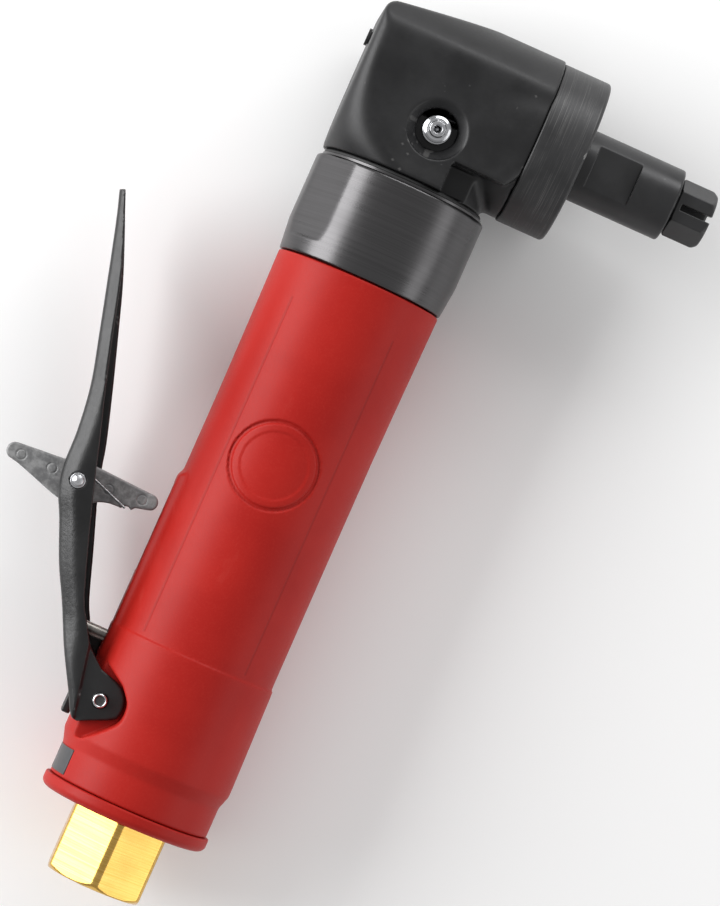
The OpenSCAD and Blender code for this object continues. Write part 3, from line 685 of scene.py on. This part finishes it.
def exhaust_field(p):
    x, y, z = p
    rho = np.hypot(x, z)
    low, high = EXHAUST_LOW[1], EXHAUST_HIGH[1]
    ring = corner(corner(rho - EXHAUST_HIGH[0], y - high, 0.35), low - y, 1.5)
    angle = np.arctan2(z, x)
    pitch = 2 * math.pi / 16
    off = (angle + pitch / 2) % pitch - pitch / 2
    slot = np.maximum(np.abs(rho - 13) - 1.3, np.abs(off * rho) - 0.8)
    return smooth_max(smooth_max(ring, 8.55 - rho, 0.2), -slot, 0.3)


def make_grip():
    red = red_composite()
    grip = field_mesh("grip", grip_field, (-18.1, 16.7, -18.1), (18.1, 136.6, 18.1), 0.3)
    stands_for(grip, "housing", "grip_red", red, "grip_housing")
    cap = field_mesh("exhaust_ring", exhaust_field, (-17.9, 13.7, -17.9), (17.9, 17.9, 17.9), 0.22)
    stands_for(cap, "housing", "grip_red", red, "exhaust_cap")


# ---------------------------------------------------------------- inlet


def inlet_field(p):
    x, y, z = p
    af = (INLET_HIGH[0] - INLET_LOW[0]) / 2
    hexagon = smooth_max(np.abs(x), smooth_max(np.abs(x * 0.5 + z * HALF_ROOT_3),
                                               np.abs(x * 0.5 - z * HALF_ROOT_3), 0.8), 0.8) - af
    rho = np.hypot(x, z)
    cone = (rho - 9.6 - y * 1.25) * 0.62
    top = 14.2
    head = smooth_max(smooth_max(hexagon, cone, 0.3), -y, 0.25)
    head = smooth_max(smooth_max(head, y - top, 0.2), (rho - 10.5 - (top - y) * 1.4) * 0.58, 0.3)
    shank = round_bar(p, 1, (0, 0, 0), 8.5, 10, 31, 0.4)
    thread = 0.28 * np.abs(((y - 0.4) / 1.41) % 1 - 0.5)
    bore = np.maximum(rho - 5.55 - np.where(y < 12.5, thread, 0), y - 13)
    mouth = (rho - 6.5 + y) * 0.7
    way = np.minimum(round_bar(p, 1, (0, 0, 0), 4.2, 12, 34, 0.1),
                     round_bar(p, 1, (0, 0, 0), 5.2, 29.4, 34, 0.1))
    hollow = np.minimum(np.minimum(bore, mouth), way)
    groove = np.hypot(rho - 8.75, y - 27) - 0.95
    return smooth_max(np.minimum(head, shank), -np.minimum(hollow, groove), 0.12)


def make_inlet(brass):
    inlet = field_mesh("inlet", inlet_field, (-11.3, -0.6, -11.3), (11.3, 31.6, 11.3), 0.2)
    stands_for(inlet, "housing", "brass", brass, "inlet_bushing")


# ---------------------------------------------------------------- clamp nut and angle head


def nut_field(p):
    x, y, z = p
    rho = np.hypot(x, z)
    low, high = NUT_LOW[1], NUT_HIGH[1]
    outer_r = profile(y, [(17.1, low - 1), (17.1, low), (NUT_R, 135, 10), (NUT_R, high + 1)])
    body = corner(corner(rho - outer_r, y - high, 0.7), low - y, 0.3)
    for side in (1, -1):
        u = side * (-x * math.cos(math.radians(35)) + z * math.sin(math.radians(35)))
        flat = corner(corner(16.8 - u, 132 - y, 0.4), y - high - 3, 0.1)
        body = smooth_max(body, -flat, 0.3)
    bore = np.minimum(np.maximum(rho - 15.7, 131.2 - y), rho - 14.6)
    return smooth_max(body, -bore, 0.25)


def head_side_outline():
    back = HEAD_LOW[0]
    return fillet([(back, 140), (back, 180.7, 3.0), (5, 184.8, 12), (24, 185.0), (24, 156.5),
                   (19.4, 156.5), (24, 140)], closed=True)


def head_field(p):
    x, y, z = p
    rho = np.hypot(x, z)
    barrel = np.hypot(y - SPINDLE_Y, z)
    rise = np.maximum(y - HEAD_BASE_Y - 0.4, 0)
    edge_r = 2.6 + 14.8 * np.exp(-rise / 6.0)
    half_z = CHEEK_Z + 2.4 * np.exp(-rise / 5.0)
    left = 17.4 + 0.3 * (1 - np.exp(-rise / 2.0))
    qx = np.where(x < 0, -x - left, x - 22) + edge_r
    qz = np.abs(z) - half_z + edge_r
    block = np.minimum(np.maximum(qx, qz), 0) + np.hypot(np.maximum(qx, 0), np.maximum(qz, 0)) - edge_r
    block = smooth_max(block, HEAD_BASE_Y - y, 0.5)
    # The cheeks stop short of the clamp nut on the spindle's side
    lip = corner(x - 6.7, HEAD_BASE_Y - y, 0.3)
    low_edge = 156.5 + 0.9 * np.maximum(x - 17.2, 0) ** 1.5
    block = smooth_max(block, np.minimum(lip, low_edge - y), 0.6)
    # The round part swells out of the cheeks towards its open end
    round_body = np.maximum(barrel - CHEEK_Z + 0.4 - 1.8 * step_up(x, 3, 19), -x)
    neck = np.maximum(rho - 16.0, np.maximum(y - 158, HEAD_BASE_Y - y))
    body = smooth_min(block, smooth_min(round_body, neck, 1.6), 0.6)
    crown = np.where(y > SPINDLE_Y, barrel, np.abs(z)) - 17.35
    body = smooth_max(body, crown, 1.0)
    body = smooth_max(body, outline_field(x, y, head_side_outline()), 0.8)
    body = smooth_max(body, x - HEAD_FRONT_X, 0.5)
    body = smooth_max(body, HEAD_BASE_Y - y, 0.4)
    body = np.minimum(body, round_bar(p, 1, (0, 0, 0), 15.6, 136.05, 152, 0.3))
    # Dark pocket under the cheek's corner
    pocket = box_field((x, y, np.abs(z)), (6.4, 150.3, 10.8), (12.4, 156.1, 22), 0.5)
    body = smooth_max(body, -pocket, 0.3)
    # Grease fitting's bevelled recess, and the plug's hole in the back
    g = np.hypot(x - GREASE_AT[0], y - GREASE_AT[1])
    well = np.maximum(g - 4.2 - np.clip(z - 13.4, 0, 1.8), 11.6 - z)
    body = smooth_max(body, -well, 0.35)
    plug = np.maximum(np.hypot(y - BACK_PLUG_Y, z) - 1.3, x + 14.4)
    gears = round_bar(p, 1, (0, 0, 0), 11.05, 120, 146.1, 0.1)
    gears = np.minimum(gears, round_bar(p, 1, (0, 0, 0), 9.4, 140, 161.5, 0.3))
    for radius, low, high in ((12.4, -5.4, 16), (13.05, 13.9, 24), (14.55, 17.35, 24),
                              (5.05, -14, 0)):
        gears = np.minimum(gears, round_bar(p, 0, (0, SPINDLE_Y, 0), radius, low, high, 0.1))
    fitting = np.maximum(np.hypot(x - GREASE_AT[0], y - GREASE_AT[1]) - 2.05, 4 - z)
    hollow = np.minimum(np.minimum(plug, gears), fitting)
    return smooth_max(body, -hollow, 0.12)


def make_nut_and_head(gunmetal, black):
    nut = field_mesh("nut", nut_field, (-18.3, 128.1, -18.3), (18.3, 149.4, 18.3), 0.28)
    stands_for(nut, "housing", "gunmetal", gunmetal, "clamp_nut")
    head = field_mesh("head", head_field, (-18.3, 135.5, -18), (20, 185.8, 18), 0.28)
    stands_for(head, "housing", "black_steel", black, "angle_head")
    cap = turned("cap", [
        (7.65, 27.4), (7.65, 29.5, 0.25), (16.75, 29.5, 0.75), (16.75, 19.5, 0.35), (14.5, 19.5),
        (14.5, 17.4), (13.1, 17.4), (13.1, 22.1), (10.4, 22.1), (10.4, 27.4), (7.65, 27.4)],
        axis="X", centre=(0, SPINDLE_Y, 0), segments=256)
    stands_for(cap, "housing", "black_steel", brushed_black(), "bearing_cap")


# ---------------------------------------------------------------- spindle and collet


def spindle_field(p):
    x, y, z = p
    rho = np.hypot(y - SPINDLE_Y, z)
    centre = (0, SPINDLE_Y, 0)
    nose = round_bar(p, 0, centre, 7.4, 22.1, 50, 0.5)
    flat = np.maximum(5.987 - np.abs(z), np.abs(x - 36.7) - 4.5)
    nose = smooth_max(nose, -flat, 0.12)
    seat = round_bar(p, 0, centre, 4.99, 4.7, 24, 0.3)
    thread = round_bar(p, 0, centre, 4.0, 2, 6, 0.3)
    journal = round_bar(p, 0, centre, 2.99, -13.5, 3, 0.4)
    body = np.minimum(np.minimum(nose, seat), np.minimum(thread, journal))
    bore = np.minimum(round_bar(p, 0, centre, 5.05, 33, 60, 0.1),
                      round_bar(p, 0, centre, 3.4, 25, 40, 0.1))
    mouth = np.maximum(rho - 5.05 - (x - 49.4), 49.0 - x) * 0.7
    return smooth_max(body, -np.minimum(bore, mouth), 0.12)


def collet_field(p):
    x, y, z = p
    y = y - SPINDLE_Y
    rho = np.hypot(y, z)
    end = COLLET_HIGH[0]
    face = end - 7.45
    af = (COLLET_HIGH[2] - COLLET_LOW[2]) / 2
    hexagon = np.maximum(np.abs(z), np.maximum(np.abs(z * 0.5 + y * HALF_ROOT_3),
                                               np.abs(z * 0.5 - y * HALF_ROOT_3))) - af
    head = smooth_max(hexagon, (rho - 5.2 - (end - x) * 0.85) * 0.76, 0.3)
    head = smooth_max(smooth_max(head, x - end, 0.25), face - x, 0.15)
    head = smooth_max(head, (rho - 5.75 - (x - face) * 1.2) * 0.64, 0.2)
    shank = round_bar(p, 0, (0, SPINDLE_Y, 0), 5.0, 33.4, face + 1, 0.3)
    bore = rho - 3.175
    mouth = (rho - 3.6 - (x - end)) * 0.7
    slots = np.full(np.broadcast(x, rho).shape, 1e3)
    for k in range(3):
        a = math.radians(120 * k)
        ahead = z * math.cos(a) + y * math.sin(a)
        across = y * math.cos(a) - z * math.sin(a)
        slots = np.minimum(slots, np.maximum(np.maximum(np.abs(across) - 0.65, -ahead), 51.4 - x))
    return smooth_max(np.minimum(head, shank), -np.minimum(np.minimum(bore, mouth), slots), 0.12)


def make_spindle(black):
    spindle = field_mesh("spindle_shaft", spindle_field, (-14.1, SPINDLE_Y - 8, -8),
                         (50.6, SPINDLE_Y + 8, 8), 0.2)
    stands_for(spindle, "spindle", "black_steel", black, "spindle")
    collet = field_mesh("collet_body", collet_field, (32.9, SPINDLE_Y - 6.5, -6),
                        (58.4, SPINDLE_Y + 6.5, 6), 0.16)
    stands_for(collet, "collet", "black_steel", black, "collet")


# ---------------------------------------------------------------- throttle lever and lock-off

LEVER_OUTER = [(-16.3, 28.4), (-17.6, 29.2), (-20, 33.5), (-24, 40.5), (-28, 48.5), (-31.5, 55),
               (-35, 63), (-37.2, 67.6), (-38.4, 73), (-38.7, 80), (-39.9, 89), (-42.5, 99),
               (-45.5, 110), (-48.3, 120), (-50.15, 125.8)]
LEVER_INNER = [(-48.95, 126.25), (-45.8, 119), (-42.2, 110), (-38.8, 100), (-35.5, 90),
               (-32.4, 80), (-31.2, 75), (-29.5, 69), (-26.3, 60), (-23, 50.5), (-21.2, 46.8),
               (-19.3, 42.9), (-15.5, 39.6)]


LEVER_FOOT = [(-10.6, 31.0), (-14.9, 29.1), (-16.0, 28.45)]


def lever_foot():
    """Side view of the round ear about the pivot and the flat foot under it."""
    ear = [LEVER_PIVOT[:2] + 4.8 * np.array([math.cos(math.radians(a)), math.sin(math.radians(a))])
           for a in range(75, -26, -10)]
    return ear + [np.array(q) for q in LEVER_FOOT]


def lever_outline():
    """Side view: outer edge up to the tip, inner edge down, ear and foot."""
    return curve_through(LEVER_OUTER) + curve_through(LEVER_INNER) + lever_foot()


def near_outline():
    """The same for the wall towards +Z, whose inner edge stops short of the far wall's."""
    short = [0, 0.2, 0.5, 1.1, 1.5, 1.4, 1.1, 0.9, 1.1, 1.0, 0.6, 0, 0]
    inner = [(x - cut, y) for (x, y), cut in zip(LEVER_INNER, short)]
    return curve_through(LEVER_OUTER) + curve_through(inner) + lever_foot()


def lever_shoulder():
    """The lever's outer edge, closed far away on the grip's side."""
    line = curve_through(LEVER_OUTER)
    return [np.array([-10.0, 15.0])] + line + [np.array([-53.0, 140.0]), np.array([20.0, 140.0]),
                                             np.array([20.0, 15.0])]


LEVER_OUTLINE = lever_outline()
LEVER_NEAR = near_outline()
LEVER_SHOULDER = lever_shoulder()


def lever_field(p):
    x, y, z = p
    half_w = (LEVER_HIGH[2] - LEVER_LOW[2]) / 2
    side = outline_field(x, y, LEVER_OUTLINE)
    edge = outline_field(x, y, LEVER_SHOULDER)
    # The ear is pressed a little inwards, to the right of a fold line
    fold = (x + 20.0) * 0.979 + (y - 43.0) * 0.203
    tall = np.abs(z) - half_w + 0.7 * step_up(fold, 0.0, 0.9)
    facet = 0.6 * edge + 0.8 * tall + 0.7 + 1.15 * step_up(y, 35, 47)
    shell = smooth_max(corner(edge, tall, 1.5), facet, 0.8)
    near = outline_field(x, y, LEVER_NEAR)
    body = smooth_max(shell, side + (near - side) * step_up(z, -1, 1), 0.35)
    hollow = corner(edge + 1.6, np.abs(z) - 8.2, 1.5)
    hollow = np.minimum(hollow, np.maximum(np.abs(z) - 8.2, y - 36.5))
    body = smooth_max(body, -hollow, 0.4)
    # Stop tab folded out at the foot, and the wider far wall beside the valve pin
    body = np.minimum(body, box_field(p, (-19.4, 28.4, -10.3), (-17.6, 33.4, -3.0), 0.4))
    body = np.minimum(body, box_field(p, (-22.5, 38.5, -10.3), (-17.15, 44.3, -8.3), 0.4))
    body = np.minimum(body, box_field(p, (-20.0, 36.5, -10.3), (-16.2, 40.3, -8.3), 0.4))
    window = box_field(p, (-60, 61.5, -4.5), (-30, 90, 4.5), 0.8)
    holes = np.minimum(np.hypot(x - LEVER_PIVOT[0], y - LEVER_PIVOT[1]) - 1.45,
                       np.hypot(x - LOCK_PIVOT[0], y - LOCK_PIVOT[1]) - 1.52)
    coil = np.maximum(np.hypot(x - LOCK_PIVOT[0], y - LOCK_PIVOT[1]) - 2.6, np.abs(z) - 8.2)
    return smooth_max(body, -np.minimum(np.minimum(window, holes), coil), 0.25)


LOCK_ARM_END, LOCK_ARM_R = np.array([-20.0, 72.8]), 1.6
LOCK_TAB_END, LOCK_TAB_R = np.array([-48.0, 71.4]), 1.7


def lock_outline():
    def arc(centre, r, start, end, step):
        return [centre + r * np.array([math.cos(math.radians(a)), math.sin(math.radians(a))])
                for a in range(start, end + 1, step)]
    under = [(-46.5, 69.4), (-43, 68.3), (-40, 67.3), (-37.2, 66.5), (-34.2, 66.1), (-31.4, 67.2),
             (-29.3, 68.7), (-27, 69.4), (-24.7, 69.5)]
    notch = [(-24.3, 70.1), (-23.5, 70.3), (-22.8, 69.9), (-22.2, 70.6)]
    top = [(-24, 74.55), (-30, 74.85), (-34.5, 74.9), (-38.7, 73.9), (-44, 73.45)]
    return (arc(LOCK_ARM_END, LOCK_ARM_R, -80, 80, 16) + curve_through(top, 3)
            + arc(LOCK_TAB_END, LOCK_TAB_R, 95, 245, 15) + curve_through(under, 3)
            + [np.array(q) for q in notch])


LOCK_OUTLINE = lock_outline()
LOCK_MARKS = ((-46.6, 71.2), (-40.1, 71.2), (-28.4, 71.8), (-21.6, 72.6))


def lock_field(p):
    x, y, z = p
    side = outline_field(x, y, LOCK_OUTLINE)
    body = corner(side, np.abs(z) - LOCK_HIGH[2], 0.45)
    for mx, my in LOCK_MARKS:
        rho = np.hypot(x - mx, y - my)
        ring = step_up(rho, 0.75, 0.95) * (1 - step_up(rho, 1.0, 1.2))
        body = body + 0.12 * ring * (np.abs(z) > 3)
    bore = np.hypot(x - LOCK_PIVOT[0], y - LOCK_PIVOT[1]) - 1.55
    return smooth_max(body, -bore, 0.15)


def pin_piece(name, centre, end, material, body, node):
    """Pin along Z: `end` is the outline of one end, from the axis out to the rim."""
    far = [(q[0], -q[1], *q[2:]) for q in end]
    pin = turned(name, far + end[::-1], axis="Z", centre=(centre[0], centre[1], 0), segments=96,
                 longest=0.5)
    stands_for(pin, body, "steel", material, node)


def make_levers(black, zinc, polished):
    lever = field_mesh("lever", lever_field, LEVER_LOW - 0.6, LEVER_HIGH + 0.6, 0.28)
    stands_for(lever, "throttle_lever", "black_steel", black, "throttle_lever")
    lock = field_mesh("lock_off", lock_field, LOCK_LOW - 0.5, LOCK_HIGH + 0.5, 0.15)
    stands_for(lock, "lock_lever", "cast_grey", zinc, "lock_lever")
    # The pivot pin's ends are drilled hollow; the lock-off pin's are turned to a low cone
    hollow_end = [(0, 10.45), (0.85, 10.5, 0.1), (0.98, 10.75, 0.1), (1.15, 10.9, 0.1), (1.4, 10.7, 0.1),
                  (1.4, 10.2)]
    cone_end = [(0, 11.2), (0.35, 11.1, 0.3), (1.05, 10.75, 0.2), (1.12, 10.62, 0.05), (1.5, 10.5, 0.1),
                (1.5, 10.2)]
    pin_piece("lever_pivot_pin", LEVER_PIVOT, hollow_end, hollow_pin_painted_shade(), "housing", "lever_pin")
    pin_piece("lock_pivot_pin", LOCK_PIVOT, cone_end, polished, "throttle_lever", "lock_pin")


def make_lock_spring(steel):
    """Torsion spring: leg on the arm, coil round the pin, and a short tail at the web."""
    coil_r, winding, steps = 1.95, 425, 48
    coil = []
    for i in range(steps + 1):
        a = math.radians(65 - winding * i / steps)
        coil.append((LOCK_PIVOT[0] + coil_r * math.cos(a), LOCK_PIVOT[1] + coil_r * math.sin(a),
                     4.9 + 2.4 * i / steps))
    arm_leg = [(-24, 69.8, 4.5), (-27.6, 71.1, 4.5), (-31.2, 72.4, 4.6), (-32.6, 72.8, 4.8)]
    web_leg = [(-32.6, 70.3, 7.35), (-32.75, 69.6, 7.4)]
    spring = wire_piece("lock_off_spring", arm_leg + coil + web_leg, 0.24)
    stands_for(spring, "lock_lever", "steel", steel, "lock_spring")


def wire_piece(name, path, radius):
    """Round wire along points, made into a closed mesh with smooth sides."""
    data = bpy.data.curves.new(name, "CURVE")
    data.dimensions = "3D"
    data.bevel_depth = radius * MM
    data.bevel_resolution = 5
    data.use_fill_caps = True
    line = data.splines.new("POLY")
    line.points.add(len(path) - 1)
    for point, place in zip(line.points, path):
        point.co = (*[c * MM for c in place], 1)
    curve = bpy.data.objects.new(name + "_path", data)
    bpy.context.scene.collection.objects.link(curve)
    mesh = bpy.data.meshes.new_from_object(curve.evaluated_get(bpy.context.evaluated_depsgraph_get()))
    mesh.name = name
    bpy.data.objects.remove(curve)
    obj = bpy.data.objects.new(name, mesh)
    bpy.context.scene.collection.objects.link(obj)
    mesh.shade_smooth()
    return obj


# ---------------------------------------------------------------- small turned pieces


def make_grease_fitting(polished):
    """Press-in grease nipple with turned rings and a bore for its check ball."""
    fitting = turned("grease_nipple", [
        (0, 8.6), (2.0, 8.6, 0.2), (2.0, 11.65), (2.85, 11.65, 0.1), (2.85, 13.0, 0.15),
        (2.15, 13.3, 0.2), (2.15, 13.85, 0.2), (2.62, 14.2, 0.15), (2.62, 14.65, 0.15),
        (2.1, 14.95, 0.1), (1.75, 15.0, 0.08), (1.5, 15.45, 0.2), (0.95, 15.55, 0.15),
        (0.6, 15.1, 0.1), (0.55, 14.0), (0.9, 13.9), (0.9, 9.4), (0, 9.4)],
        axis="Z", centre=(GREASE_AT[0], GREASE_AT[1], 0), segments=128)
    stands_for(fitting, "housing", "steel", polished, "grease_fitting")


def make_valve_pin(steel):
    low, high = PIN_LOW[0], PIN_HIGH[0]
    r = 1.2
    pin = turned("throttle_valve_pin", [
        (0, low), (r * 0.75, low + 0.12, 0.3), (r, low + 0.6, 0.3), (r, high - 0.6, 0.3),
        (r * 0.75, high - 0.12, 0.3), (0, high)],
        axis="X", centre=(0, VALVE_PIN_Y, 0), segments=96, longest=0.5)
    stands_for(pin, "valve_pin", "steel", steel, "valve_pin")


def brushed_black():
    """Black cap whose rim shows fine bright scratches where it has been wiped round."""
    n = Nodes("brushed_black")
    lines = n.noise(1.0, 4, 0.7, n.scaled(6500, 60, 60))
    patch = n.noise(60, 4, 0.6)
    fine = n.noise(1800, 4, 0.65)
    wear = n.steps(n.edge_wear(), 0.53, 0.58)
    worn = n.math("MULTIPLY", n.steps(lines, 0.52, 0.68), n.steps(patch, 0.42, 0.62))
    base = n.mix(n.steps(patch, 0.35, 0.7), rgb(44, 44, 45), rgb(58, 58, 59))
    base = n.mix(n.math("MULTIPLY", worn, 0.45), base, rgb(124, 123, 122))
    base = n.mix(n.math("MULTIPLY", wear, 0.55), base, rgb(150, 149, 148))
    rough = n.math("ADD", n.steps(patch, 0.3, 0.7, 0.36, 0.46), n.steps(fine, 0.3, 0.7, -0.03, 0.03))
    n.set(Metallic=0.4)
    return n.finish(base, rough, n.bump(lines, 0.000012, 0.4))


# ---------------------------------------------------------------- put it together


def paint(material, *nodes):
    """Gives CAD nodes a material."""
    for node in nodes:
        obj = frame["nodes"][node]
        obj.data.materials.clear()
        obj.data.materials.append(material)


def make_all():
    black = black_oxide()
    polished = machined("polished_pin", rgb(150, 151, 154), rgb(226, 227, 230), 2, 0.12, 0.22)
    ground = machined("ground_steel", rgb(120, 120, 122), rgb(190, 190, 192), 1)
    ground_x = machined("ground_steel_x", rgb(120, 116, 112), rgb(160, 155, 150), 0, 0.25, 0.42)
    gunmetal = machined("gunmetal", rgb(82, 81, 82), rgb(89, 88, 89), 1, 0.265, 0.295, depth=0.000001)
    brass = machined("brass", rgb(204, 160, 76), rgb(226, 186, 104), 1, 0.16, 0.22, depth=0.000002)
    make_grip()
    make_inlet(brass)
    make_nut_and_head(gunmetal, black)
    make_spindle(black_oxide("black_spindle", 54, 0.38))
    make_levers(black_oxide("black_lever", 27, 0.36, 1100, 0.00014, 0.7), cast_zinc(), polished)
    make_lock_spring(ground)
    make_grease_fitting(polished)
    make_valve_pin(ground_x)
    paint(rubber(), "inlet_oring", "head_oring", "head_plug", "spindle_seal", "valve_pin_oring",
          "valve_face")
    paint(felt(), "exhaust_muffler")
    paint(label_foil(), "info_label")
    paint(vane_laminate(), "rotor_vanes")
    paint(gunmetal, "nut_washer", "rear_end_plate", "front_end_plate", "bevel_pinion", "bevel_gear")
    paint(brass, "spindle_rear_bush", "valve_pin_bush")
    paint(polished, "grease_check_ball")
    paint(ground, "inlet_screen", "nut_retaining_ring", "motor_cylinder", "cylinder_pin",
          "motor_spacer", "wave_washer", "rotor", "gear_nut", "tip_valve", "valve_spring")
    paint(ground, *[f"{place}_bearing_{piece}" for place in ("rear", "front", "pinion", "spindle")
                    for piece in ("outer_race", "balls", "inner_race")])


make_all()
make_floor()
make_light()
